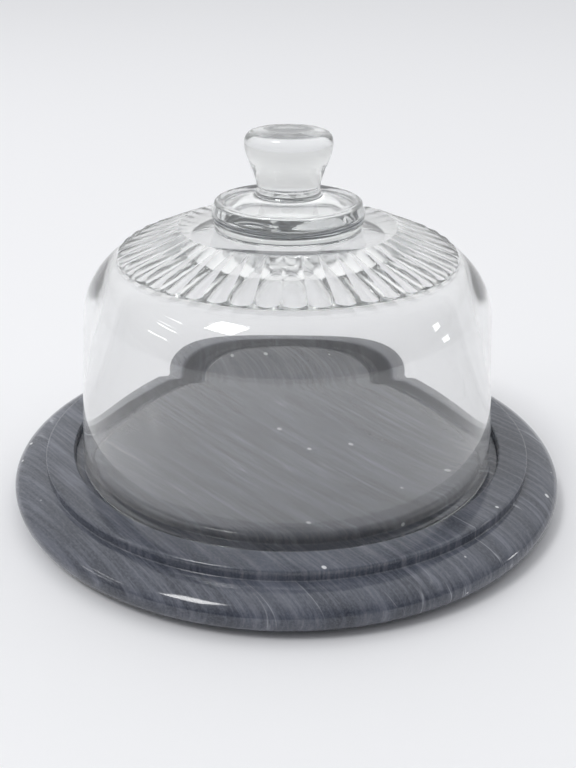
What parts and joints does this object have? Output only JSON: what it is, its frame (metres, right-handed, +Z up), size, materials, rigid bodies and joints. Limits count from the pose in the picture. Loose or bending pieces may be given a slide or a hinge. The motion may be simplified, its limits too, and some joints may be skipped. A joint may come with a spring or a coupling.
{
  "type": "cake stand dome",
  "caption": "Round dark marble board with a turned groove that holds a lift-off pressed glass dome, fluted below the crown, with a solid glass knob.",
  "frame": {"origin": "on the table, at the axis of the round board, under its foot pads", "axes": "+Z up along the axis of turning; the object is round, so +X and +Y are any two level directions, with a foot pad at 45 degrees between them"},
  "size_m": [0.26, 0.26, 0.1675],
  "materials": {
    "dark_marble": "polished dark blue-grey marble with fine pale streaks",
    "clear_glass": "clear pressed glass, fire polished",
    "pad_rubber": "soft matt rubber"
  },
  "bodies": {
    "board": {"marble_base": "dark_marble", "foot_pad_1": "pad_rubber", "foot_pad_2": "pad_rubber", "foot_pad_3": "pad_rubber", "foot_pad_4": "pad_rubber"},
    "cover": {"glass_dome": "clear_glass", "glass_knob": "clear_glass"}
  },
  "joints": [
    {"name": "cover_lift", "type": "slide", "parent": "board", "child": "cover", "axis": [0, 0, 1], "range_m": [0, 0.15]}
  ]
}
